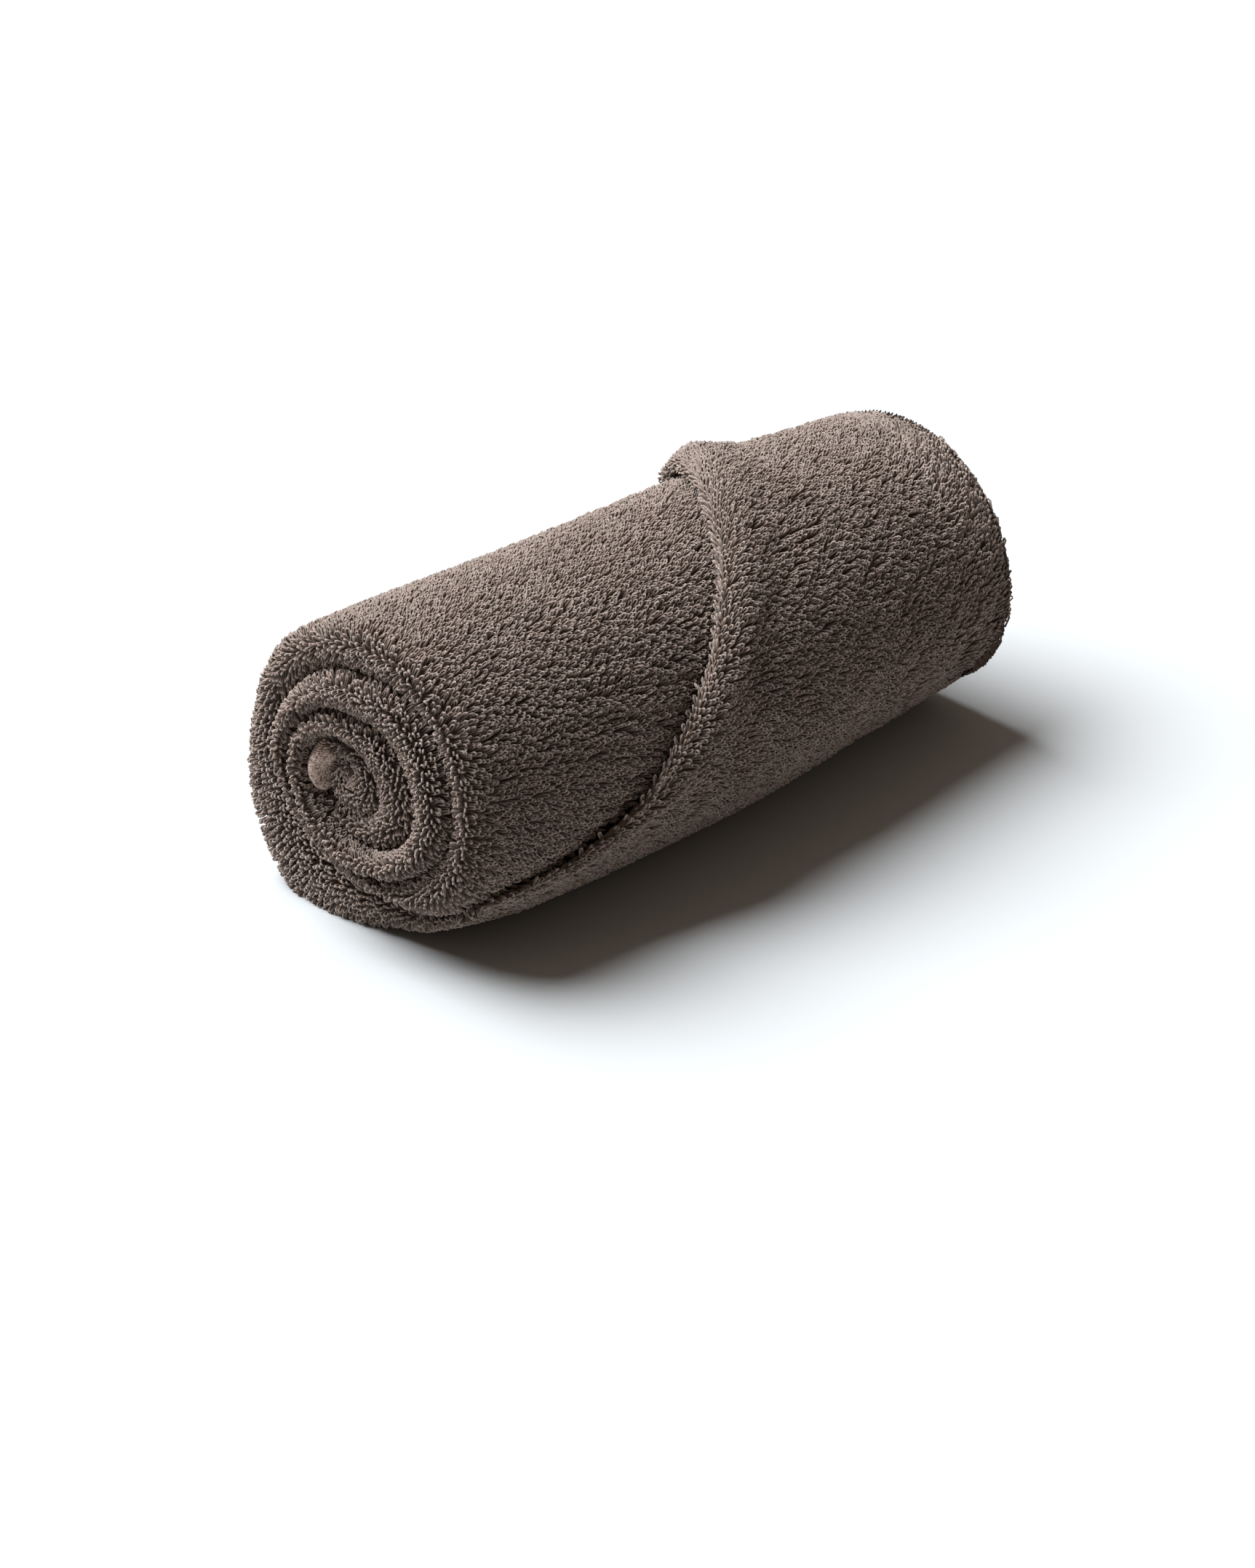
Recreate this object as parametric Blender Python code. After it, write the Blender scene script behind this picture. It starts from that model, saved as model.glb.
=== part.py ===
"""Rolled face towel: one wound solid that lies on its side.

The towel is folded in half along its length and rolled up, with the fold at the near end (-X).
Its last corner is folded over on the slant, so a thick edge climbs round the front of the roll.
Metres, +Z up. +X runs along the roll, -Y is its front, and the origin is under its middle.
"""

import math

import bmesh
import bpy
import numpy as np

MM = 0.001

# Driving sizes
ROLL_LENGTH = 170.0 * MM
AXIS_HEIGHT_NEAR = 44.0 * MM
AXIS_HEIGHT_FAR = 37.5 * MM
CORE_OFFSET_Y = 8.0 * MM
CORE_OFFSET_Z = -5.0 * MM
CENTRED_AFTER_DEGREES = 1080.0
BOX_CENTRE_X = -1.9 * MM
BOX_CENTRE_Y = -0.8 * MM

# The seam outside each eighth of a turn, as a distance from the winding's centre at the near end.
# The first column points to the front, and each next one is 45 degrees further over the top.
# front, front top, top, back top, back, back foot, foot, front foot
SEAM_RADIUS_MM = (
    (0.0, 2.0, 3.5, 5.0, 6.5, 8.0, 9.2, 10.0),
    (10.5, 10.3, 10.0, 10.5, 11.0, 12.0, 15.5, 19.0),
    (21.5, 20.0, 15.8, 16.5, 18.7, 21.0, 24.0, 26.5),
    (30.3, 30.0, 25.0, 24.5, 27.0, 27.0, 30.0, 37.0),
    (34.5, 34.0, 34.2, 34.5, 36.0, 38.3, 40.5, 38.8),
    (39.3, 38.5, 38.2, 39.2, 39.7, 40.2, 41.0, 38.8),
)
EIGHTH = 45.0
TURN = 360.0
CORE_START = -TURN

# The loose outer turn stands further out at the near end than it does along the roll.
# wound degrees, extra distance in mm
LOOSE_TURN_MM = (
    (1200.0, 0.0), (1232.0, 2.5), (1257.0, 8.0), (1272.0, 12.5), (1296.0, 21.0), (1314.0, 24.0),
    (1323.0, 21.0), (1331.0, 15.0), (1339.0, 8.0), (1354.0, 1.5), (1373.0, 0.0),
)
LOOSE_TURN_REACH = 30.0 * MM

# A soft bead behind the slanted fold.
# wound degrees, height in mm
SLANT_BEAD_MM = ((1395.0, 0.0), (1440.0, 1.6), (1530.0, 2.2), (1620.0, 1.6), (1710.0, 0.5), (1755.0, 0.0))
SLANT_BEAD_PLACE = 8.0 * MM
SLANT_BEAD_WIDTH = 8.0 * MM

# Girth of the roll along its length over the top and at the foot, against its girth at the near end.
# The top is counted a little behind the highest line, in wound degrees.
# place along the roll in mm, girth
TOP_GIRTH = (
    (-85.0, 1.00), (-60.0, 1.00), (-30.0, 0.98), (0.0, 0.975), (25.0, 0.975),
    (40.0, 0.955), (56.0, 0.90), (71.0, 0.87), (91.5, 0.825),
)
FOOT_GIRTH = (
    (-85.0, 0.96), (-71.0, 1.02), (-55.0, 1.07), (-30.0, 1.08), (0.0, 1.075),
    (20.0, 1.055), (45.0, 1.00), (70.0, 0.95), (91.5, 0.90),
)
TOP_OF_GIRTH = 124.0

# The near edge of the cloth: the low core, the proud inner roll, the rim, the turn that is
# set back, then the slanted fold, which leaves the near end and climbs round the roll.
# wound degrees, place along the roll in mm
NEAR_EDGE_MM = (
    (-360.0, -82.0), (0.0, -83.0), (300.0, -83.5), (420.0, -87.0), (560.0, -88.0), (900.0, -88.0),
    (1035.0, -85.5), (1215.0, -85.0), (1262.0, -80.5), (1370.0, -80.5), (1397.0, -78.0), (1416.0, -54.0),
    (1427.0, -38.0), (1445.0, -25.0), (1472.0, -8.0), (1501.0, 6.7), (1532.0, 20.0), (1564.0, 33.0),
    (1620.0, 50.0), (1665.0, 65.0), (1710.0, 81.0), (1755.0, 99.0),
)

# How far in the seam outside a turn lies at the near end, until the rim closes it.
# wound degrees, place along the roll in mm
NEAR_GROOVE_FLOOR_MM = (
    (-360.0, -79.5), (300.0, -80.5), (420.0, -82.0), (675.0, -82.0), (850.0, -81.5), (905.0, -77.5),
    (1035.0, -77.5),
)

# The far edge of the cloth.
# wound degrees, place along the roll in mm
FAR_EDGE_MM = ((-360.0, 87.0), (540.0, 90.0), (1035.0, 91.5), (1395.0, 91.0), (1755.0, 91.0))

# Where the near end's rim is closed, and where the slanted fold has run off the far end.
RIM_START = 1035.0
SLANT_START = RIM_START + TURN
SLANT_END = SLANT_START + TURN

# Roundings and creases at the edges of the cloth
NEAR_ROUND = 7.0 * MM
CREASE_DEPTH = 1.5 * MM
CREASE_EASE_DEGREES = 12.0
FAR_GROOVE_FLOOR = 85.5 * MM
FAR_ROUND_START = 83.0 * MM
FAR_EASE_DEGREES = 90.0

# Mesh
COLUMNS_IN_TURN = 64
NEAR_FOLD_STEPS = 5
FAR_FOLD_STEPS = 4
SIDE_STEPS = 16
MERGE_DISTANCE = 0.00001
SHARP_ANGLE = 60.0

CLOTH_COLOUR = (0.078, 0.059, 0.050, 1.0)
CLOTH_ROUGHNESS = 0.95


def through_points(table, at):
    """Reads a smooth curve through the rows of a two-column table, without overshoot."""
    xs = np.array([row[0] for row in table], float)
    ys = np.array([row[1] for row in table], float)
    at = np.clip(np.asarray(at, float), xs[0], xs[-1])
    steps = np.diff(xs)
    slopes = np.diff(ys) / steps
    tangents = np.zeros(len(xs))
    rising = slopes[:-1] * slopes[1:] > 0
    before, after = slopes[:-1][rising], slopes[1:][rising]
    tangents[1:-1][rising] = 2.0 * before * after / (before + after)
    tangents[0] = slopes[0]
    tangents[-1] = slopes[-1]
    i = np.clip(np.searchsorted(xs, at, side="right") - 1, 0, len(steps) - 1)
    t = (at - xs[i]) / steps[i]
    return (
        ys[i] * (1.0 + 2.0 * t) * (1.0 - t) ** 2
        + tangents[i] * steps[i] * t * (1.0 - t) ** 2
        + ys[i + 1] * t * t * (3.0 - 2.0 * t)
        + tangents[i + 1] * steps[i] * t * t * (t - 1.0)
    )


def seam_table():
    """Lists wound degrees and seam distance, an eighth of a turn for each row."""
    radii = [radius for turn in SEAM_RADIUS_MM for radius in turn]
    return [(CORE_START + EIGHTH * i, radius) for i, radius in enumerate(radii)]


def seam_radius(wound, x):
    """Gives the distance of the seam outside a turn from the winding's centre."""
    over_top = (1.0 + np.cos(np.radians(wound - TOP_OF_GIRTH))) / 2.0
    top, foot = through_points(TOP_GIRTH, x / MM), through_points(FOOT_GIRTH, x / MM)
    radius = through_points(seam_table(), wound) * (foot + (top - foot) * over_top)
    loose = through_points(LOOSE_TURN_MM, wound) * np.exp(-(x + ROLL_LENGTH / 2.0) / LOOSE_TURN_REACH)
    behind = x - near_edge(wound) - SLANT_BEAD_PLACE
    bead = through_points(SLANT_BEAD_MM, wound) * np.exp(-((behind / SLANT_BEAD_WIDTH) ** 2))
    return (radius + loose + bead) * MM


def near_edge(wound):
    """Gives the place of the cloth's near edge along the roll."""
    return through_points(NEAR_EDGE_MM, wound) * MM


def eased(wound, start, length):
    """Rises smoothly from 0 to 1 over a length of wound degrees."""
    share = np.clip((wound - start) / length, 0.0, 1.0)
    return share * share * (3.0 - 2.0 * share)


def around_axis(wound, x):
    """Gives where the seam outside a turn lies, across and up from the roll's axis."""
    off_centre = np.clip(1.0 - wound / CENTRED_AFTER_DEGREES, 0.0, 1.0)
    radius = seam_radius(wound, x)
    turned = np.radians(90.0 - wound)
    return (
        CORE_OFFSET_Y * off_centre - radius * np.sin(turned),
        CORE_OFFSET_Z * off_centre + radius * np.cos(turned),
    )


def set_down(x, y, z):
    """Sets points down on the ground, which presses a small flat spot into the cloth."""
    share = (x + ROLL_LENGTH / 2.0) / ROLL_LENGTH
    height = AXIS_HEIGHT_NEAR + (AXIS_HEIGHT_FAR - AXIS_HEIGHT_NEAR) * share + z
    return np.stack([x + BOX_CENTRE_X, y + BOX_CENTRE_Y, np.maximum(height, 0.0)], axis=-1)


def folded_edge(wound, inner_x, edge_x, outer_x, steps):
    """Rounds an edge of the cloth over, from the seam inside its turn to the seam outside it."""
    bend = np.linspace(0.0, math.pi, steps + 1)
    across = (1.0 - np.cos(bend)) / 2.0
    start_x = np.where(bend < math.pi / 2.0, inner_x[:, None], outer_x[:, None])
    x = start_x + (edge_x[:, None] - start_x) * np.sin(bend)
    turn = wound[:, None] + np.zeros_like(x)
    inner_y, inner_z = around_axis(turn - TURN, x)
    outer_y, outer_z = around_axis(turn, x)
    return set_down(x, inner_y + (outer_y - inner_y) * across, inner_z + (outer_z - inner_z) * across)


def near_crease(wound):
    """Gives where the near edge of a turn meets the turn inside it."""
    crease = near_edge(wound) + CREASE_DEPTH
    floor = through_points(NEAR_GROOVE_FLOOR_MM, wound - TURN) * MM
    place = floor + (crease - floor) * eased(wound, SLANT_START, CREASE_EASE_DEGREES)
    return np.minimum(place, FAR_ROUND_START)


def near_shoulder(wound):
    """Gives where the near edge of a turn meets the turn or the skin outside it."""
    shoulder = near_edge(wound) + NEAR_ROUND
    floor = through_points(NEAR_GROOVE_FLOOR_MM, wound) * MM
    place = floor + (shoulder - floor) * eased(wound, RIM_START, CREASE_EASE_DEGREES)
    return np.minimum(place, FAR_ROUND_START)


def far_floor(wound):
    """Gives how far the seam outside a turn reaches towards the far end."""
    return FAR_GROOVE_FLOOR + (FAR_ROUND_START - FAR_GROOVE_FLOOR) * eased(
        wound, SLANT_START - FAR_EASE_DEGREES, FAR_EASE_DEGREES
    )


def skin(wound, start_x, end_x):
    """Runs the outside of a turn along the roll."""
    share = np.linspace(0.0, 1.0, SIDE_STEPS + 1)
    x = start_x[:, None] + (end_x - start_x)[:, None] * share
    turn = wound[:, None] + np.zeros_like(x)
    return set_down(x, *around_axis(turn, x))


def add_strip(shell, places):
    """Adds a grid of faces through rows of places."""
    rows = [[shell.verts.new(place) for place in row] for row in places]
    for row, following in zip(rows, rows[1:]):
        for i in range(len(row) - 1):
            shell.faces.new((row[i], row[i + 1], following[i + 1], following[i]))


def cloth_material(name):
    material = bpy.data.materials.new(name)
    material.use_nodes = True
    shader = material.node_tree.nodes["Principled BSDF"]
    shader.inputs["Base Color"].default_value = CLOTH_COLOUR
    shader.inputs["Roughness"].default_value = CLOTH_ROUGHNESS
    shader.inputs["Metallic"].default_value = 0.0
    return material


def towel_roll(collection):
    """Makes the wound solid: two spiral ends, the skin before the slanted fold and the skin behind it."""
    step = TURN / COLUMNS_IN_TURN
    wound = np.arange(CORE_START, SLANT_END + step / 2.0, step)
    last_turn = wound[wound >= SLANT_START]
    near_x = np.minimum(near_edge(wound), FAR_ROUND_START)
    far_x = through_points(FAR_EDGE_MM, wound) * MM
    far_end = FAR_ROUND_START + np.zeros_like(last_turn)
    shell = bmesh.new()
    add_strip(shell, folded_edge(wound, near_crease(wound), near_x, near_shoulder(wound), NEAR_FOLD_STEPS))
    add_strip(shell, skin(last_turn - TURN, near_shoulder(last_turn - TURN), near_crease(last_turn)))
    add_strip(shell, skin(last_turn, near_shoulder(last_turn), far_end))
    add_strip(shell, folded_edge(wound, far_floor(wound - TURN), far_x, far_floor(wound), FAR_FOLD_STEPS))
    bmesh.ops.remove_doubles(shell, verts=shell.verts[:], dist=MERGE_DISTANCE)
    bmesh.ops.dissolve_degenerate(shell, edges=shell.edges[:], dist=MERGE_DISTANCE)
    bmesh.ops.triangulate(shell, faces=shell.faces[:])
    bmesh.ops.recalc_face_normals(shell, faces=shell.faces[:])
    mesh = bpy.data.meshes.new("towel_roll")
    shell.to_mesh(mesh)
    shell.free()
    mesh.shade_smooth()
    mesh.set_sharp_from_angle(angle=math.radians(SHARP_ANGLE))
    mesh.materials.append(cloth_material("terry_cloth"))
    roll = bpy.data.objects.new("towel_roll", mesh)
    collection.objects.link(roll)
    return roll


def main():
    for leftover in list(bpy.data.objects):
        bpy.data.objects.remove(leftover)
    collection = bpy.data.collections.new("rolled_face_towel")
    bpy.context.scene.collection.children.link(collection)
    towel_roll(collection)


main()
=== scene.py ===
"""Rolled face towel: terry cloth that is folded along its length and rolled up.

One wound sheet carries its pile of cotton loops, which are real geometry wherever the pile shows.
Metres, +Z up. +X runs along the roll from its near end to its far end, -Y is its front, and the
floor is at Z = 0.
"""

import math
from collections import namedtuple

import bmesh
import bpy
import numpy as np
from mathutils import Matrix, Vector


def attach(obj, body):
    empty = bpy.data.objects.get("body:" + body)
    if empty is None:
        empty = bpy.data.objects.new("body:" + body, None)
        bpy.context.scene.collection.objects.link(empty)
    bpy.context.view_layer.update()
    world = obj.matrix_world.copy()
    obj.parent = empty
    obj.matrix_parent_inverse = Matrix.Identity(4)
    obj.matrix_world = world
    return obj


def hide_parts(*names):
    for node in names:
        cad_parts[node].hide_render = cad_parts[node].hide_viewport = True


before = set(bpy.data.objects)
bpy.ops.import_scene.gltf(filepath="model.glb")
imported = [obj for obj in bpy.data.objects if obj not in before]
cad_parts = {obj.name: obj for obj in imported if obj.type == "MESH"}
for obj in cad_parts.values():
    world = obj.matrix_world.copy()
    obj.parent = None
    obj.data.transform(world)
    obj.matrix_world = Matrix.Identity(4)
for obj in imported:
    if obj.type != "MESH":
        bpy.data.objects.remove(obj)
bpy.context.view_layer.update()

bl_info = {
    "name": "Rolled face towel",
    "version": (1, 0, 0),
    "blender": (4, 5, 0),
    "location": "View3D > Sidebar > Towel",
    "description": "Builds a rolled terry towel with real pile loops, and the stage that it lies on",
    "category": "Object",
}

MM = 0.001
NODE = "towel_roll"

# Driving sizes of the roll
ROLL_LENGTH = 170.0 * MM
AXIS_HEIGHT_NEAR = 44.0 * MM
AXIS_HEIGHT_FAR = 37.5 * MM
CORE_OFFSET_Y = 8.0 * MM
CORE_OFFSET_Z = -5.0 * MM
CENTRED_AFTER_DEGREES = 1080.0

# Shift of the roll that brings the middle of its box over the origin
BOX_CENTRE_X = -1.9 * MM
BOX_CENTRE_Y = -0.8 * MM

# The seam outside each eighth of a turn, as a distance from the winding's centre at the near end.
# The first column points to the front, and each next one is 45 degrees further over the top.
# front, front top, top, back top, back, back foot, foot, front foot
SEAM_RADIUS_MM = (
    (0.0, 2.0, 3.5, 5.0, 6.5, 8.0, 9.2, 10.0),
    (10.5, 10.3, 10.0, 10.5, 11.0, 12.0, 15.5, 19.0),
    (21.5, 20.0, 15.8, 16.5, 18.7, 21.0, 24.0, 26.5),
    (30.3, 30.0, 25.0, 24.5, 27.0, 27.0, 30.0, 37.0),
    (34.5, 34.0, 34.2, 34.5, 36.0, 38.3, 40.5, 38.8),
    (39.3, 38.5, 38.2, 39.2, 39.7, 40.2, 41.0, 38.8),
)
EIGHTH = 45.0
TURN = 360.0
CORE_START = -TURN

# The loose outer turn stands further out at the near end than it does along the roll.
# wound degrees, extra distance in mm
LOOSE_TURN_MM = (
    (1200.0, 0.0), (1232.0, 2.5), (1257.0, 8.0), (1272.0, 12.5), (1296.0, 21.0), (1314.0, 24.0),
    (1323.0, 21.0), (1331.0, 15.0), (1339.0, 8.0), (1354.0, 1.5), (1373.0, 0.0),
)
LOOSE_TURN_REACH = 30.0 * MM

# A soft bead behind the slanted fold.
# wound degrees, height in mm
SLANT_BEAD_MM = ((1395.0, 0.0), (1440.0, 1.6), (1530.0, 2.2), (1620.0, 1.6), (1710.0, 0.5), (1755.0, 0.0))
SLANT_BEAD_PLACE = 8.0 * MM
SLANT_BEAD_WIDTH = 8.0 * MM

# Girth of the roll along its length over the top and at the foot, against its girth at the near end.
# The top is counted a little behind the highest line, in wound degrees.
# place along the roll in mm, girth
TOP_GIRTH = (
    (-85.0, 1.00), (-60.0, 1.00), (-30.0, 0.98), (0.0, 0.975), (25.0, 0.975),
    (40.0, 0.955), (56.0, 0.90), (71.0, 0.87), (91.5, 0.825),
)
FOOT_GIRTH = (
    (-85.0, 0.96), (-71.0, 1.02), (-55.0, 1.07), (-30.0, 1.08), (0.0, 1.075),
    (20.0, 1.055), (45.0, 1.00), (70.0, 0.95), (91.5, 0.90),
)
TOP_OF_GIRTH = 124.0

# The near edge of the cloth: the low core, the proud inner roll, the rim, the turn that is
# set back, then the slanted fold, which leaves the near end and climbs round the roll.
# wound degrees, place along the roll in mm
NEAR_EDGE_MM = (
    (-360.0, -82.0), (0.0, -83.0), (300.0, -83.5), (420.0, -87.0), (560.0, -88.0), (900.0, -88.0),
    (1035.0, -85.5), (1215.0, -85.0), (1262.0, -80.5), (1370.0, -80.5), (1397.0, -78.0), (1416.0, -54.0),
    (1427.0, -38.0), (1445.0, -25.0), (1472.0, -8.0), (1501.0, 6.7), (1532.0, 20.0), (1564.0, 33.0),
    (1620.0, 50.0), (1665.0, 65.0), (1710.0, 81.0), (1755.0, 99.0),
)

# How far in the seam outside a turn lies at the near end, until the rim closes it.
# wound degrees, place along the roll in mm
NEAR_GROOVE_FLOOR_MM = (
    (-360.0, -79.5), (300.0, -80.5), (420.0, -82.0), (675.0, -82.0), (850.0, -81.5), (905.0, -77.5),
    (1035.0, -77.5),
)

# The far edge of the cloth.
# wound degrees, place along the roll in mm
FAR_EDGE_MM = ((-360.0, 87.0), (540.0, 90.0), (1035.0, 91.5), (1395.0, 91.0), (1755.0, 91.0))

# Wound degrees from which the near end's rim is closed, from which the slanted fold leaves the near
# end, and by which it has run off the far end
RIM_START = 1035.0
SLANT_START = RIM_START + TURN
SLANT_END = SLANT_START + TURN

# Roundings and creases at the edges of the cloth
NEAR_ROUND = 7.0 * MM
CREASE_DEPTH = 1.5 * MM
CREASE_EASE_DEGREES = 12.0
FAR_GROOVE_FLOOR = 85.5 * MM
FAR_ROUND_START = 83.0 * MM
FAR_EASE_DEGREES = 90.0

# Columns of the ground sheet along the cloth, and its rows on a turn's outside, round the near edge
# and on the turn's inside
SHEET_COLUMNS = 530
OUTSIDE_ROWS = 30
ROUND_EDGE_ROWS = 10
INSIDE_ROWS = 16

# The ground sheet lies the pile's depth inside a turn, but no further in than these shares of the
# turn's thickness. Its two layers close towards the far edge.
MOST_FROM_INSIDE = 0.4
MOST_FROM_OUTSIDE = 0.5
THINNEST_TURN = 0.01 * MM
CLOSING_REACH = 4.0 * MM
MOST_CLOSED = 0.9
GROUND_OVER_FLOOR = 0.4 * MM

# Steps in which the cloth's length is measured, and in which the surfaces under the loops are laid out
LENGTH_STEPS = 6000
SKIN_STEPS = 160
NEAR_EDGE_STEPS = 80
FAR_EDGE_STEPS = 60

# One loop of the pile, from foot to foot.
# share of the height, share of the width
LOOP_PATH = ((0.0, -0.42), (0.89, -0.49), (0.985, 0.0), (0.89, 0.49), (0.0, 0.42))
LOOP_SIDES = 3
MOST_LOOPS_IN_PIECE = 8000
FOOT_SUNK = 0.1 * MM
LOOP_OVER_FLOOR = 0.05 * MM

# A loop rises soon and leans over late, by these powers of the share of its height, and it leans at most
# this many degrees.
RISE_POWER = 0.8
LEAN_POWER = 1.4
MOST_LEAN = 72.0

# The rings of the yarn are lined up by a guide that points along the lean and this much up.
GUIDE_RISE = 0.3

# Least length that a vector is divided by, so that one without a length stays as it is, and the length
# that a loop's direction has to have for the loop to be made
LEAST_DIVISOR = 1e-12
LEAST_DIRECTION = 0.5

# Ranges of a loop's height, its width and its yarn, as shares, and the spread of its twist in radians
HEIGHT_RANGE = (0.90, 1.06)
WIDTH_RANGE = (0.85, 1.15)
YARN_RANGE = (0.88, 1.15)
TWIST_SPREAD = 0.5

# How the loops lie on each part of the roll. A loop leans away from upright across the cloth, and its
# lean is turned towards the cloth's length. Over a folded edge both change with the share of the way.
# share, lean and turn in degrees; the spread of both from loop to loop
Lay = namedtuple("Lay", "rows lean_spread turn_spread")
UNDER_LAY = Lay(
    (
        (0.0, 48.0, 2.0), (0.3, 46.0, 0.0), (0.75, 54.0, 2.0),
        (0.93, 52.0, 5.0), (0.98, 30.0, 8.0), (1.0, 20.0, 8.0),
    ),
    6.0, 11.0,
)
FLAP_LAY = Lay(((0.0, 58.0, 8.0), (0.3, 54.0, 2.0), (0.8, 60.0, 10.0), (1.0, 60.0, 75.0)), 5.0, 10.0)
SLANT_LAY = Lay(
    ((0.0, 62.0, 84.0), (0.15, 60.0, 78.0), (0.3, 52.0, 62.0), (0.6, 50.0, 36.0), (1.0, 58.0, 8.0)),
    4.0, 10.0,
)
NEAR_LAY = Lay(((0.0, -56.0, -8.0), (0.35, -38.0, -5.0), (0.62, 34.0, 0.0), (1.0, 58.0, 5.0)), 9.0, 16.0)
FAR_LAY = Lay(((0.0, 46.0, 80.0), (0.5, 56.0, 90.0), (1.0, 60.0, 100.0)), 5.0, 12.0)

# The loops drift out of their rows together, in soft waves over the cloth, and lean a little with them.
# length of a wave in mm, push along the cloth in mm, turn in degrees
Wave = namedtuple("Wave", "length push turn")
DRIFT_WAVES = (Wave(31.0, 0.35, 7.0), Wave(17.0, 0.30, 8.0), Wave(9.5, 0.22, 9.0), Wave(6.0, 0.15, 8.0))
LEAN_WITH_DRIFT = 0.4

# First seat of the even and of the odd rows, and how far a loop strays from its seat, in pitches
FIRST_SEATS = (0.25, 0.75)
SEAT_JITTER = 0.07

SEED = 11

# Where the loops on the edges start in the core, the thinnest turn that has room for them, and how far
# the loops go in under the slanted fold
EDGE_PILE_START = CORE_START + 60.0
LEAST_TURN = 0.8 * MM
TUCKED_IN = 5.0 * MM

# The loops on an edge stand at angles round it, counted from the seam inside the turn. Those in the
# spiral's grooves end short of the seam outside it.
# first angle, last angle in the grooves
NEAR_BEND = (2.0, 170.0)
FAR_BEND = (15.0, 165.0)
HALF_TURN = TURN / 2.0

# The hem's end in the spiral: where it shows, where the loops go on behind it, how far its middle stands
# out of the pile, and its angles round the edge
HEM_START = 140.0
HEM_END = 216.0
HEM_GAP_END = 236.0
HEM_PROUD = 1.8 * MM
HEM_THICKNESS = 0.7 * MM
HEM_BEND = (4.0, 176.0)
HEM_COLUMNS = 25
HEM_ROWS = 17

# How soon the painted shade deep in the pile gives way to the yarn's colour towards the loop's top, how
# much darker a loop and a patch can be, and where and how sharply the hem's specks set in
PILE_SHADE_FADE_POWER = 1.7
LOOP_SHADE = 0.60
PATCH_SHADE = 0.35
SPECK_START = 0.40
SPECK_CONTRAST = 3.5
FIBRE_RELIEF = 0.15 * MM
SHEEN_TINT = (0.85, 0.78, 0.72, 1.0)

# The stage
WHITE = (1.0, 1.0, 1.0, 1.0)
FLOOR_REACH = 6.0
KEY_DIRECTION = (0.242, -0.473, -0.847)
KEY_WIDTH = math.radians(45.0)
KEY_COLOUR = (0.90, 0.955, 1.0)
SKY_COLOUR = (1.0, 0.83, 0.69, 1.0)

# The camera: its sensor and lens in mm, how near it sees, and its aim, which starts under the roll's foot
SENSOR_HEIGHT = 36.0
LENS = 158.63
NEAREST_SEEN = 0.05
AIM_BELOW_FLOOR = 3.0 * MM
AIM_UP = 9.15 * MM
AIM_LEFT = 1.54 * MM


class TOWEL_PG_cloth(bpy.types.PropertyGroup):
    """Sizes of the cloth and of its pile."""

    cut_width: bpy.props.FloatProperty(
        name="Cut width", description="Width of the towel laid out flat", default=0.35, unit="LENGTH"
    )
    cut_length: bpy.props.FloatProperty(
        name="Cut length", description="Length of the towel laid out flat", default=0.80, unit="LENGTH"
    )
    pile_height: bpy.props.FloatProperty(
        name="Pile height", description="Length of a loop from its foot to its top",
        default=2.85 * MM, unit="LENGTH",
    )
    pile_depth: bpy.props.FloatProperty(
        name="Pile depth", description="Distance from the tips of the pile down to the ground weave",
        default=1.9 * MM, unit="LENGTH",
    )
    row_pitch: bpy.props.FloatProperty(
        name="Row pitch", description="Distance between the rows of loops along the cloth",
        default=1.34 * MM, unit="LENGTH",
    )
    loop_pitch: bpy.props.FloatProperty(
        name="Loop pitch", description="Distance between neighbouring loops in a row",
        default=1.22 * MM, unit="LENGTH",
    )
    loop_width: bpy.props.FloatProperty(
        name="Loop width", description="Width of one loop", default=0.70 * MM, unit="LENGTH"
    )
    yarn_width: bpy.props.FloatProperty(
        name="Yarn width", description="Thickness of the pile yarn", default=0.54 * MM, unit="LENGTH"
    )


class TOWEL_PG_colours(bpy.types.PropertyGroup):
    """Colours of the cotton; the loop foot and the ground weave hold painted shade."""

    yarn_tip: bpy.props.FloatVectorProperty(
        name="Loop top", description="Colour of the tops of the loops", subtype="COLOR",
        size=3, min=0.0, max=1.0, default=(0.370, 0.288, 0.245),
    )
    # Painted shade: the dark of the yarn deep in the pile and between the loops. The same colour also
    # mottles the ground and gives the hem its dark specks.
    painted_shade_and_dark_yarn: bpy.props.FloatVectorProperty(
        name="Loop foot", description="Colour of the yarn deep in the pile", subtype="COLOR",
        size=3, min=0.0, max=1.0, default=(0.095, 0.058, 0.042),
    )
    # Painted shade: the ground weave is coloured far darker than the yarn, so that the gaps between the
    # loops and the creases look shaded.
    ground: bpy.props.FloatVectorProperty(
        name="Ground weave", description="Colour of the cloth between the loops", subtype="COLOR",
        size=3, min=0.0, max=1.0, default=(0.055, 0.036, 0.028),
    )
    hem: bpy.props.FloatVectorProperty(
        name="Hem", description="Colour of the flat woven hem", subtype="COLOR",
        size=3, min=0.0, max=1.0, default=(0.600, 0.455, 0.385),
    )


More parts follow.
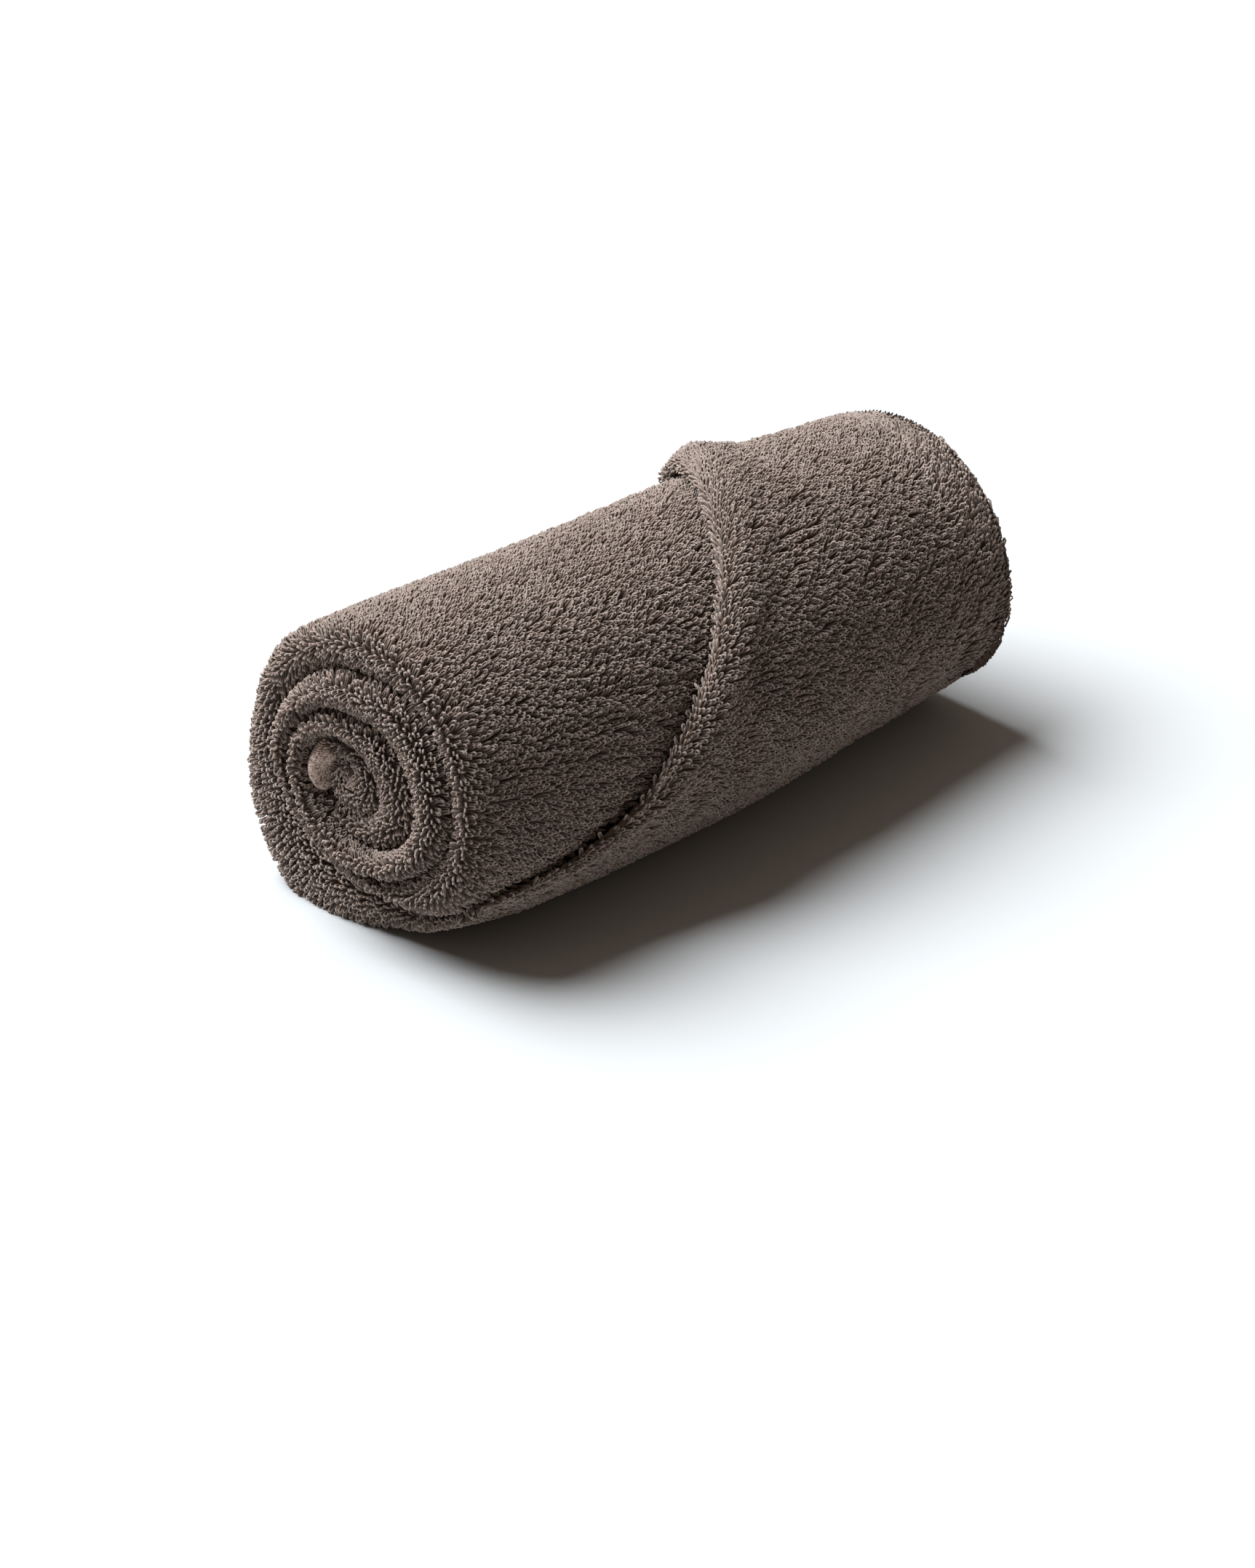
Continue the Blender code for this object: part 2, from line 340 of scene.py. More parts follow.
class TOWEL_PG_stage(bpy.types.PropertyGroup):
    """The floor, the light and the camera."""

    floor_colour: bpy.props.FloatVectorProperty(
        name="Floor", description="Colour of the floor", subtype="COLOR",
        size=3, min=0.0, max=1.0, default=(0.41, 0.41, 0.41),
    )
    sky_strength: bpy.props.FloatProperty(name="Sky", description="Light from all round", default=0.21)
    key_strength: bpy.props.FloatProperty(
        name="Key light", description="Strength of the wide light behind and above", default=9.2
    )
    azimuth: bpy.props.FloatProperty(
        name="Camera azimuth", description="Direction that the camera looks along, from +Y",
        default=math.radians(46.07), subtype="ANGLE",
    )
    elevation: bpy.props.FloatProperty(
        name="Camera elevation", description="Height angle of the camera",
        default=math.radians(29.5), subtype="ANGLE",
    )
    distance: bpy.props.FloatProperty(
        name="Camera distance", description="Distance from the camera to the roll's foot",
        default=1.5753, unit="LENGTH",
    )


def through_points(table, at):
    """Reads a smooth curve through the rows of a two-column table, without overshoot."""
    xs = np.array([row[0] for row in table], float)
    ys = np.array([row[1] for row in table], float)
    at = np.clip(np.asarray(at, float), xs[0], xs[-1])
    steps = np.diff(xs)
    slopes = np.diff(ys) / steps
    tangents = np.zeros(len(xs))
    rising = slopes[:-1] * slopes[1:] > 0
    before, after = slopes[:-1][rising], slopes[1:][rising]
    tangents[1:-1][rising] = 2.0 * before * after / (before + after)
    tangents[0] = slopes[0]
    tangents[-1] = slopes[-1]
    i = np.clip(np.searchsorted(xs, at, side="right") - 1, 0, len(steps) - 1)
    t = (at - xs[i]) / steps[i]
    return (
        ys[i] * (1.0 + 2.0 * t) * (1.0 - t) ** 2
        + tangents[i] * steps[i] * t * (1.0 - t) ** 2
        + ys[i + 1] * t * t * (3.0 - 2.0 * t)
        + tangents[i + 1] * steps[i] * t * t * (t - 1.0)
    )


def seam_table():
    """Lists wound degrees and seam distance, an eighth of a turn for each row."""
    radii = [radius for turn in SEAM_RADIUS_MM for radius in turn]
    return [(CORE_START + EIGHTH * i, radius) for i, radius in enumerate(radii)]


def near_edge(wound):
    """Gives the place of the cloth's near edge along the roll."""
    return through_points(NEAR_EDGE_MM, wound) * MM


def seam_radius(wound, x):
    """Gives the distance of the seam outside a turn from the winding's centre."""
    over_top = (1.0 + np.cos(np.radians(wound - TOP_OF_GIRTH))) / 2.0
    top, foot = through_points(TOP_GIRTH, x / MM), through_points(FOOT_GIRTH, x / MM)
    radius = through_points(seam_table(), wound) * (foot + (top - foot) * over_top)
    loose = through_points(LOOSE_TURN_MM, wound) * np.exp(-(x + ROLL_LENGTH / 2.0) / LOOSE_TURN_REACH)
    behind = x - near_edge(wound) - SLANT_BEAD_PLACE
    bead = through_points(SLANT_BEAD_MM, wound) * np.exp(-((behind / SLANT_BEAD_WIDTH) ** 2))
    return (radius + loose + bead) * MM


def eased(wound, start, length):
    """Rises smoothly from 0 to 1 over a length of wound degrees."""
    share = np.clip((wound - start) / length, 0.0, 1.0)
    return share * share * (3.0 - 2.0 * share)


def around_axis(wound, x):
    """Gives where the seam outside a turn lies, across and up from the roll's axis."""
    off_centre = np.clip(1.0 - wound / CENTRED_AFTER_DEGREES, 0.0, 1.0)
    radius = seam_radius(wound, x)
    turned = np.radians(90.0 - wound)
    return (
        CORE_OFFSET_Y * off_centre - radius * np.sin(turned),
        CORE_OFFSET_Z * off_centre + radius * np.cos(turned),
    )


def set_down(x, y, z, lowest=0.0):
    """Sets points down on the floor, which presses a small flat spot into the cloth."""
    share = (x + ROLL_LENGTH / 2.0) / ROLL_LENGTH
    height = AXIS_HEIGHT_NEAR + (AXIS_HEIGHT_FAR - AXIS_HEIGHT_NEAR) * share + z
    return np.stack([x + BOX_CENTRE_X, y + BOX_CENTRE_Y, np.maximum(height, lowest)], axis=-1)


def near_crease(wound):
    """Gives where the near edge of a turn meets the turn inside it."""
    crease = near_edge(wound) + CREASE_DEPTH
    floor = through_points(NEAR_GROOVE_FLOOR_MM, wound - TURN) * MM
    place = floor + (crease - floor) * eased(wound, SLANT_START, CREASE_EASE_DEGREES)
    return np.minimum(place, FAR_ROUND_START)


def near_shoulder(wound):
    """Gives where the near edge of a turn meets the turn or the skin outside it."""
    shoulder = near_edge(wound) + NEAR_ROUND
    floor = through_points(NEAR_GROOVE_FLOOR_MM, wound) * MM
    place = floor + (shoulder - floor) * eased(wound, RIM_START, CREASE_EASE_DEGREES)
    return np.minimum(place, FAR_ROUND_START)


def far_floor(wound):
    """Gives how far the seam outside a turn reaches towards the far end."""
    return FAR_GROOVE_FLOOR + (FAR_ROUND_START - FAR_GROOVE_FLOOR) * eased(
        wound, SLANT_START - FAR_EASE_DEGREES, FAR_EASE_DEGREES
    )


def between_seams(wound, x, across):
    """Places points inside a turn, from the seam inside it at 0 to the seam outside it at 1."""
    inner_y, inner_z = around_axis(wound - TURN, x)
    outer_y, outer_z = around_axis(wound, x)
    return inner_y + (outer_y - inner_y) * across, inner_z + (outer_z - inner_z) * across


def folded_edge(wound, inner_x, edge_x, outer_x, bend):
    """Rounds an edge of the cloth over, from the seam inside its turn to the seam outside it."""
    start_x = np.where(bend < math.pi / 2.0, inner_x[:, None], outer_x[:, None])
    x = start_x + (edge_x[:, None] - start_x) * np.sin(bend)
    return set_down(x, *between_seams(wound[:, None], x, (1.0 - np.cos(bend)) / 2.0))


def near_fold(wound, bend):
    """Gives the tips' surface over the near edge of the cloth."""
    edge = np.minimum(near_edge(wound), FAR_ROUND_START)
    return folded_edge(wound, near_crease(wound), edge, near_shoulder(wound), bend)


def far_fold(wound, bend):
    """Gives the tips' surface over the far edge of the cloth."""
    edge = through_points(FAR_EDGE_MM, wound) * MM
    return folded_edge(wound, far_floor(wound - TURN), edge, far_floor(wound), bend)


def around_edge(wound, angles, grooves_until, steps):
    """Lists the angles round an edge, for each turn. They end short in the grooves of the spiral."""
    first, last = angles
    bend = np.radians(np.linspace(first, HALF_TURN, steps))[None, :]
    return np.minimum(bend, np.where(wound[:, None] < grooves_until, math.radians(last), math.pi))


def skin(wound, start_x, end_x):
    """Gives the tips' surface along the outside of a turn."""
    share = np.linspace(0.0, 1.0, SKIN_STEPS)[None, :]
    x = start_x[:, None] + (end_x - start_x)[:, None] * share
    return set_down(x, *around_axis(wound[:, None], x))


def ground_places(depth):
    """Gives the ground sheet, which lies the pile's depth inside the tips' surface.

    Each column runs in along the outside of a turn, round its near edge and back along its inside.
    """
    wound = np.linspace(CORE_START, SLANT_END, SHEET_COLUMNS)[:, None]
    near = np.minimum(near_edge(wound), FAR_ROUND_START) + depth
    far = through_points(FAR_EDGE_MM, wound) * MM - depth
    shoulder, crease = near_shoulder(wound), near_crease(wound)
    outside = np.linspace(1.0, 0.0, OUTSIDE_ROWS)[None, :]
    inside = np.linspace(0.0, 1.0, INSIDE_ROWS)[None, :]
    bend = np.linspace(math.pi, 0.0, ROUND_EDGE_ROWS + 2)[None, 1:-1]
    fold_start = np.where(bend < math.pi / 2.0, crease, shoulder)
    x = np.concatenate(
        [
            shoulder + (far - shoulder) * outside,
            fold_start + (near - fold_start) * np.sin(bend),
            crease + (far - crease) * inside,
        ],
        axis=1,
    )
    rounded = (1.0 - np.cos(bend)) / 2.0
    across = np.concatenate([np.ones_like(outside), rounded, np.zeros_like(inside)], axis=1)
    closed = 1.0 - np.sqrt(np.clip((far - x) / CLOSING_REACH, 0.0, 1.0))
    across = across + (0.5 - across) * np.minimum(closed, MOST_CLOSED)
    inner_y, inner_z = around_axis(wound - TURN, x)
    outer_y, outer_z = around_axis(wound, x)
    thick = np.maximum(np.hypot(outer_y - inner_y, outer_z - inner_z), THINNEST_TURN)
    lowest = np.minimum(depth / thick, MOST_FROM_INSIDE)
    highest = 1.0 - np.minimum(depth / thick, MOST_FROM_OUTSIDE)
    share = lowest + (highest - lowest) * across
    y = inner_y + (outer_y - inner_y) * share
    z = inner_z + (outer_z - inner_z) * share
    return set_down(x, y, z, GROUND_OVER_FLOOR)


def running_sum(steps):
    """Adds up steps from 0."""
    return np.concatenate([[0.0], np.cumsum(steps)])


def even_columns(start, end, pitch):
    """Lists wound degrees that lie a pitch apart along the cloth."""
    fine = np.linspace(start, end, LENGTH_STEPS)
    y, z = around_axis(fine, np.zeros_like(fine))
    length = running_sum(np.hypot(np.diff(y), np.diff(z)))
    return np.interp(np.arange(0.0, length[-1], pitch), length, fine)


def edge_columns(pitch):
    """Lists wound degrees a pitch apart, where the turn is thick enough for loops on its edges."""
    wound = even_columns(EDGE_PILE_START, SLANT_END, pitch)
    thickness = seam_radius(wound, FAR_ROUND_START) - seam_radius(wound - TURN, FAR_ROUND_START)
    return wound[thickness > LEAST_TURN]


def unit(vectors):
    """Scales vectors to a length of 1. Those without a length stay as they are."""
    return vectors / np.maximum(np.linalg.norm(vectors, axis=-1, keepdims=True), LEAST_DIVISOR)


def drift_waves(random):
    """Draws the direction and the start of each soft wave."""
    return [(unit(random.normal(0.0, 1.0, 3)), random.uniform(0.0, 2.0 * math.pi)) for _ in DRIFT_WAVES]


def drift(places, drawn, effect):
    """Adds up one effect of the soft waves at places."""
    total = np.zeros(len(places))
    for wave, (heading, start) in zip(DRIFT_WAVES, drawn):
        phase = places @ heading * 2.0 * math.pi / (wave.length * MM) + start
        total += getattr(wave, effect) * np.sin(phase)
    return total


# Where loops sit, the surface's normal and the directions across and along the cloth there, and the
# share of the way down a column
Seats = namedtuple("Seats", "places normals across along way")


def loop_seats(places, pitch, outward, random):
    """Spreads the seats of the loops over a surface, row by row along its columns."""
    across = np.gradient(places, axis=1)
    along = np.gradient(places, axis=0)
    normals = unit(np.cross(across, along)) * outward
    found = []
    for i, column in enumerate(places):
        length = running_sum(np.linalg.norm(np.diff(column, axis=0), axis=1))
        seats = np.arange(FIRST_SEATS[i % 2] * pitch, length[-1], pitch)
        if len(seats) == 0:
            continue
        seats = seats + random.normal(0.0, SEAT_JITTER * pitch, len(seats))
        way = np.linspace(0.0, 1.0, len(column))[:, None]
        values = np.concatenate([column, normals[i], across[i], along[i], way], axis=1)
        found.append(np.stack([np.interp(seats, length, value) for value in values.T], axis=1))
    places, normals, across, along, way = np.split(np.concatenate(found), (3, 6, 9, 12), axis=1)
    along = unit(along)
    slide = random.normal(0.0, SEAT_JITTER * pitch, len(places))
    slide = slide + drift(places, drift_waves(random), "push") * MM
    return Seats(places + along * slide[:, None], unit(normals), unit(across), along, way[:, 0])


def loop_directions(seats, lay, random):
    """Draws how far each loop leans, and gives the ways in which it leans and in which it is wide."""
    count = len(seats.places)
    drifting = drift(seats.places, drift_waves(random), "turn")
    shares, leans, turns = np.array(lay.rows).T
    turned = np.interp(seats.way, shares, turns) + drifting + random.normal(0.0, lay.turn_spread, count)
    turned = np.radians(turned)[:, None]
    leaning = np.interp(seats.way, shares, leans) + LEAN_WITH_DRIFT * drifting
    leaning = leaning + random.normal(0.0, lay.lean_spread, count)
    leaning = np.radians(np.clip(leaning, -MOST_LEAN, MOST_LEAN))
    normals, across = seats.normals, seats.across
    level = unit(across - normals * np.sum(across * normals, axis=1, keepdims=True))
    length_way = unit(np.cross(normals, level))
    length_way *= np.where(np.sum(length_way * seats.along, axis=1, keepdims=True) > 0.0, 1.0, -1.0)
    lean_way = level * np.cos(turned) + length_way * np.sin(turned)
    width_way = length_way * np.cos(turned) - level * np.sin(turned)
    return leaning, lean_way, width_way


def loop_paths(seats, leaning, lean_way, width_way, cloth, random):
    """Draws the size of each loop, and gives the middle line of its yarn from foot to foot."""
    count = len(leaning)
    depth = cloth.pile_depth + FOOT_SUNK
    tallest = np.minimum(cloth.pile_height, depth / np.cos(leaning))
    height = tallest * random.uniform(*HEIGHT_RANGE, count)
    width = cloth.loop_width * random.uniform(*WIDTH_RANGE, count)
    twist = random.normal(0.0, TWIST_SPREAD, count)
    feet = seats.places - seats.normals * depth
    share, side = np.array(LOOP_PATH).T[:, None, :, None]
    spun = twist[:, None, None] * share
    up = (height * np.cos(leaning))[:, None, None] * share ** RISE_POWER
    over = (height * np.sin(leaning))[:, None, None] * share ** LEAN_POWER
    wide = width[:, None, None] * side
    return (
        feet[:, None, :]
        + seats.normals[:, None, :] * up
        + lean_way[:, None, :] * (over + wide * np.sin(spun))
        + width_way[:, None, :] * wide * np.cos(spun)
    )


def loop_tubes(paths, guide, yarn_width, random):
    """Draws the thickness of each loop's yarn, and gives the rings of points round its middle line."""
    ahead = unit(np.gradient(paths, axis=1))
    aside = unit(np.cross(ahead, guide[:, None, :]))
    third = np.cross(ahead, aside)
    around = (np.arange(LOOP_SIDES) * 2.0 * math.pi / LOOP_SIDES)[None, None, :, None]
    radius = yarn_width / 2.0 * random.uniform(*YARN_RANGE, len(paths))[:, None, None, None]
    rings = paths[:, :, None, :] + radius * (
        aside[:, :, None, :] * np.cos(around) + third[:, :, None, :] * np.sin(around)
    )
    rings[..., 2] = np.maximum(rings[..., 2], LOOP_OVER_FLOOR)
    return rings


def pile_loops(seats, lay, cloth, random):
    """Makes the tubes of the loops over their seats, but for the few whose seat gives no direction.

    Returns the tubes' points, each point's share of the loop's height, and each loop's shade.
    """
    leaning, lean_way, width_way = loop_directions(seats, lay, random)
    paths = loop_paths(seats, leaning, lean_way, width_way, cloth, random)
    rings = loop_tubes(paths, lean_way + GUIDE_RISE * seats.normals, cloth.yarn_width, random)
    share = np.array([point[0] for point in LOOP_PATH])[None, :, None]
    heights = np.broadcast_to(share, rings.shape[:3])
    shades = random.uniform(0.0, 1.0, len(rings))
    has_direction = np.linalg.norm(width_way, axis=1) > LEAST_DIRECTION
    return rings[has_direction], heights[has_direction], shades[has_direction]


def tube_faces(count):
    """Lists the corner numbers of the tubes' faces, four to a face."""
    rings = len(LOOP_PATH)
    ring, side = np.meshgrid(np.arange(rings - 1), np.arange(LOOP_SIDES), indexing="ij")
    following = (side + 1) % LOOP_SIDES
    one = np.stack(
        [
            ring * LOOP_SIDES + side,
            ring * LOOP_SIDES + following,
            (ring + 1) * LOOP_SIDES + following,
            (ring + 1) * LOOP_SIDES + side,
        ],
        axis=-1,
    ).reshape(-1, 4)
    return (one[None, :, :] + np.arange(count)[:, None, None] * rings * LOOP_SIDES).reshape(-1, 4)


def loops_mesh(name, rings, heights, shades):
    """Joins many loops into one mesh that carries their height and shade as attributes."""
    faces = tube_faces(len(rings))
    mesh = bpy.data.meshes.new(name)
    mesh.vertices.add(rings[..., 0].size)
    mesh.vertices.foreach_set("co", rings.reshape(-1))
    mesh.loops.add(faces.size)
    mesh.loops.foreach_set("vertex_index", faces.reshape(-1))
    mesh.polygons.add(len(faces))
    mesh.polygons.foreach_set("loop_start", np.arange(len(faces)) * faces.shape[1])
    mesh.update(calc_edges=True)
    spread = np.repeat(shades, heights[0].size)
    for attribute, values in (("pile_height", heights.reshape(-1)), ("loop_shade", spread)):
        mesh.attributes.new(attribute, "FLOAT", "POINT").data.foreach_set("value", values)
    mesh.shade_smooth()
    return mesh


def sheet_mesh(name, places, thickness=0.0):
    """Lays a grid with its own UV map over rows of places, and closes it where it has a thickness."""
    columns, rows = places.shape[:2]
    sheet = bmesh.new()
    bmesh.ops.create_grid(sheet, x_segments=columns - 1, y_segments=rows - 1, size=0.5, calc_uvs=True)
    for vertex in sheet.verts:
        i = round((vertex.co.x + 0.5) * (columns - 1))
        j = round((vertex.co.y + 0.5) * (rows - 1))
        vertex.co = places[i, j]
    if thickness:
        sheet.normal_update()
        bmesh.ops.solidify(sheet, geom=sheet.faces[:], thickness=thickness)
        bmesh.ops.recalc_face_normals(sheet, faces=sheet.faces[:])
    mesh = bpy.data.meshes.new(name)
    sheet.to_mesh(mesh)
    sheet.free()
    mesh.shade_smooth()
    return mesh


def add_object(name, mesh, material):
    """Puts a mesh into the scene with its material."""
    mesh.materials.append(material)
    added = bpy.data.objects.new(name, mesh)
    bpy.context.scene.collection.objects.link(added)
    return added


def add_piece(name, mesh, material):
    """Puts a mesh into the scene as a piece of the towel."""
    piece = add_object(name, mesh, material)
    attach(piece, "root")
    return piece


def cover_with_loops(name, places, lay, random, outward=1.0):
    """Covers a surface with loops, in as many pieces as keep each one small enough."""
    cloth = bpy.context.scene.towel_cloth
    seats = loop_seats(places, cloth.loop_pitch, outward, random)
    rings, heights, shades = pile_loops(seats, lay, cloth, random)
    parts = math.ceil(len(rings) / MOST_LOOPS_IN_PIECE)
    edges = np.linspace(0, len(rings), parts + 1).astype(int)
    material = material_once("terry_pile", pile_material)
    for i in range(parts):
        chosen = slice(edges[i], edges[i + 1])
        label = name if parts == 1 else f"{name}_{i + 1}"
        mesh = loops_mesh(label, rings[chosen], heights[chosen], shades[chosen])
        add_piece(label, mesh, material)


def rgb(colour):
    return (colour[0], colour[1], colour[2], 1.0)


def add_node(tree, kind, **settings):
    node = tree.nodes.new(kind)
    for key, value in settings.items():
        setattr(node, key, value)
    return node


def feed(tree, socket, value):
    """Links an input to another node's output, or sets it to a value."""
    if isinstance(value, bpy.types.NodeSocket):
        tree.links.new(value, socket)
    else:
        socket.default_value = value


def mix_colours(tree, factor, first, second):
    """Adds a colour mix and returns its result socket."""
    mix = add_node(tree, "ShaderNodeMix", data_type="RGBA")
    feed(tree, next(socket for socket in mix.inputs if socket.name == "Factor"), factor)
    colours = [socket for socket in mix.inputs if socket.type == "RGBA"]
    for socket, colour in zip(colours, (first, second)):
        feed(tree, socket, colour)
    return next(socket for socket in mix.outputs if socket.type == "RGBA")


def maths(tree, operation, first, second):
    """Adds a maths node and returns its result socket."""
    node = add_node(tree, "ShaderNodeMath", operation=operation, use_clamp=True)
    for socket, value in zip(node.inputs, (first, second)):
        feed(tree, socket, value)
    return node.outputs["Value"]


def new_material(name):
    """Starts a material, and returns it with its node tree and its shader."""
    material = bpy.data.materials.new(name)
    material.use_nodes = True
    return material, material.node_tree, material.node_tree.nodes["Principled BSDF"]


def material_once(name, make):
    """Gets a material of the towel, or makes it with the panel's colours."""
    return bpy.data.materials.get(name) or make(name, bpy.context.scene.towel_colours)


def set_inputs(node, settings):
    """Feeds a node's inputs by their names."""
    for name, value in settings.items():
        feed(node.id_data, node.inputs[name], value)


def cotton_grain():
    """Builds, once, the patches and the fine fibres that every cotton surface of the towel has."""
    group = bpy.data.node_groups.get("cotton_grain")
    if group:
        return group
    group = bpy.data.node_groups.new("cotton_grain", "ShaderNodeTree")
    for name in ("Patch Scale", "Fibre Scale", "Fibre Depth"):
        group.interface.new_socket(name, in_out="INPUT", socket_type="NodeSocketFloat")
    group.interface.new_socket("Patches", in_out="OUTPUT", socket_type="NodeSocketFloat")
    group.interface.new_socket("Normal", in_out="OUTPUT", socket_type="NodeSocketVector")
    given, result = add_node(group, "NodeGroupInput"), add_node(group, "NodeGroupOutput")
    place = add_node(group, "ShaderNodeTexCoord").outputs["Object"]
    patches, fibres = add_node(group, "ShaderNodeTexNoise"), add_node(group, "ShaderNodeTexNoise")
    bump = add_node(group, "ShaderNodeBump")
    for socket, value in (
        (patches.inputs["Vector"], place),
        (fibres.inputs["Vector"], place),
        (patches.inputs["Scale"], given.outputs["Patch Scale"]),
        (fibres.inputs["Scale"], given.outputs["Fibre Scale"]),
        (bump.inputs["Strength"], given.outputs["Fibre Depth"]),
        (bump.inputs["Distance"], FIBRE_RELIEF),
        (bump.inputs["Height"], fibres.outputs["Fac"]),
        (result.inputs["Patches"], patches.outputs["Fac"]),
        (result.inputs["Normal"], bump.outputs["Normal"]),
    ):
        feed(group, socket, value)
    return group


def grain(tree, patch_scale, fibre_scale, fibre_depth):
    """Places the cotton grain in a material and returns its patches and its normal."""
    node = add_node(tree, "ShaderNodeGroup", node_tree=cotton_grain())
    set_inputs(node, {"Patch Scale": patch_scale, "Fibre Scale": fibre_scale})
    set_inputs(node, {"Fibre Depth": fibre_depth})
    return node.outputs["Patches"], node.outputs["Normal"]


def pile_material(name, colours):
    """Cotton pile: painted shade darkens the yarn deep in the pile and between the loops, below the paler
    loop tops; uneven from loop to loop.
    """
    material, tree, shader = new_material(name)
    height = add_node(tree, "ShaderNodeAttribute", attribute_name="pile_height").outputs["Fac"]
    shade = add_node(tree, "ShaderNodeAttribute", attribute_name="loop_shade").outputs["Fac"]
    patches, normal = grain(tree, patch_scale=60.0, fibre_scale=5000.0, fibre_depth=0.35)
    # root carries painted shade: the yarn is darkened towards the loop's foot, where shade falls deep in
    # the pile, and fades to its own colour at the top.
    root = rgb(colours.painted_shade_and_dark_yarn)
    yarn = mix_colours(tree, maths(tree, "POWER", height, PILE_SHADE_FADE_POWER), root, rgb(colours.yarn_tip))
    darker = mix_colours(tree, maths(tree, "MULTIPLY", shade, LOOP_SHADE), yarn, root)
    uneven = mix_colours(tree, maths(tree, "MULTIPLY", patches, PATCH_SHADE), darker, root)
    set_inputs(shader, {"Base Color": uneven, "Normal": normal})
    set_inputs(shader, {"Roughness": 0.92, "Specular IOR Level": 0.25})
    set_inputs(shader, {"Sheen Weight": 0.35, "Sheen Roughness": 0.5})
    set_inputs(shader, {"Sheen Tint": SHEEN_TINT})
    return material


def ground_material(name, colours):
    """The ground weave between the loops, coloured dark as painted shade for the gaps and the creases."""
    material, tree, shader = new_material(name)
    patches, normal = grain(tree, patch_scale=900.0, fibre_scale=2500.0, fibre_depth=1.0)
    # The ground's painted shade, mottled at random with the dark yarn colour.
    mottled = mix_colours(tree, patches, rgb(colours.ground), rgb(colours.painted_shade_and_dark_yarn))
    set_inputs(shader, {"Base Color": mottled, "Normal": normal})
    set_inputs(shader, {"Roughness": 0.95, "Specular IOR Level": 0.2})
    return material


def hem_material(name, colours):
    """The flat woven hem: paler than the pile, with dark specks and a fine rib."""
    material, tree, shader = new_material(name)
    patches, normal = grain(tree, patch_scale=2000.0, fibre_scale=4000.0, fibre_depth=0.8)
    specks = maths(tree, "MULTIPLY", maths(tree, "SUBTRACT", patches, SPECK_START), SPECK_CONTRAST)
    mottled = mix_colours(tree, specks, rgb(colours.hem), rgb(colours.painted_shade_and_dark_yarn))
    place = add_node(tree, "ShaderNodeTexCoord").outputs["Object"]
    rib = add_node(tree, "ShaderNodeTexWave", wave_type="BANDS", bands_direction="Z")
    set_inputs(rib, {"Vector": place, "Scale": 700.0, "Distortion": 1.5})
    bump = add_node(tree, "ShaderNodeBump")
    set_inputs(bump, {"Strength": 0.8, "Distance": FIBRE_RELIEF})
    set_inputs(bump, {"Height": rib.outputs["Fac"], "Normal": normal})
    ribbed = bump.outputs["Normal"]
    set_inputs(shader, {"Base Color": mottled, "Normal": ribbed})
    set_inputs(shader, {"Roughness": 0.85, "Specular IOR Level": 0.25})
    return material


class TOWEL_OT_wound_cloth(bpy.types.Operator):
    """Makes the towel itself: one open sheet, folded along its length and wound up"""

    bl_idname = "towel.wound_cloth"
    bl_label = "Wound cloth"

    def execute(self, context):
        mesh = sheet_mesh("wound_cloth", ground_places(context.scene.towel_cloth.pile_depth))
        piece = add_piece("wound_cloth", mesh, material_once("terry_ground", ground_material))
        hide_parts(NODE)
        return {"FINISHED"}


class TOWEL_OT_side_pile(bpy.types.Operator):
    """Covers the outside of the roll with loops that its weight and its rolling have laid over"""

    bl_idname = "towel.side_pile"
    bl_label = "Side pile"

    def execute(self, context):
        random = np.random.default_rng(SEED)
        wound = even_columns(SLANT_START, SLANT_END, context.scene.towel_cloth.row_pitch)
        tucked_in = np.minimum(near_crease(wound) + TUCKED_IN, FAR_ROUND_START)
        under = skin(wound - TURN, near_shoulder(wound - TURN), tucked_in)
        cover_with_loops("pile_under_slant", under, UNDER_LAY, random)
        flap = skin(wound, near_shoulder(wound), FAR_ROUND_START)
        cover_with_loops("pile_flap", flap, FLAP_LAY, random)
        return {"FINISHED"}


class TOWEL_OT_near_pile(bpy.types.Operator):
    """Stands loops on the near edge of the cloth: the spiral of the near end and the slanted fold"""

    bl_idname = "towel.near_pile"
    bl_label = "Near edge pile"

    def execute(self, context):
        random = np.random.default_rng(SEED + 1)
        wound = edge_columns(context.scene.towel_cloth.row_pitch)
        on_hem = (wound > HEM_START) & (wound < HEM_GAP_END)
        run_off = near_edge(wound) > FAR_ROUND_START
        wound = wound[~on_hem & ~run_off]
        for name, chosen, lay in (
            ("pile_near_edge", wound[wound < SLANT_START], NEAR_LAY),
            ("pile_slant", wound[wound >= SLANT_START], SLANT_LAY),
        ):
            bend = around_edge(chosen, NEAR_BEND, RIM_START, NEAR_EDGE_STEPS)
            cover_with_loops(name, near_fold(chosen, bend), lay, random)
        return {"FINISHED"}


class TOWEL_OT_far_pile(bpy.types.Operator):
    """Stands loops on the far edge of the cloth"""

    bl_idname = "towel.far_pile"
    bl_label = "Far edge pile"

    def execute(self, context):
        random = np.random.default_rng(SEED + 2)
        wound = edge_columns(context.scene.towel_cloth.row_pitch)
        bend = around_edge(wound, FAR_BEND, SLANT_START, FAR_EDGE_STEPS)
        cover_with_loops("pile_far_edge", far_fold(wound, bend), FAR_LAY, random, outward=-1.0)
        return {"FINISHED"}


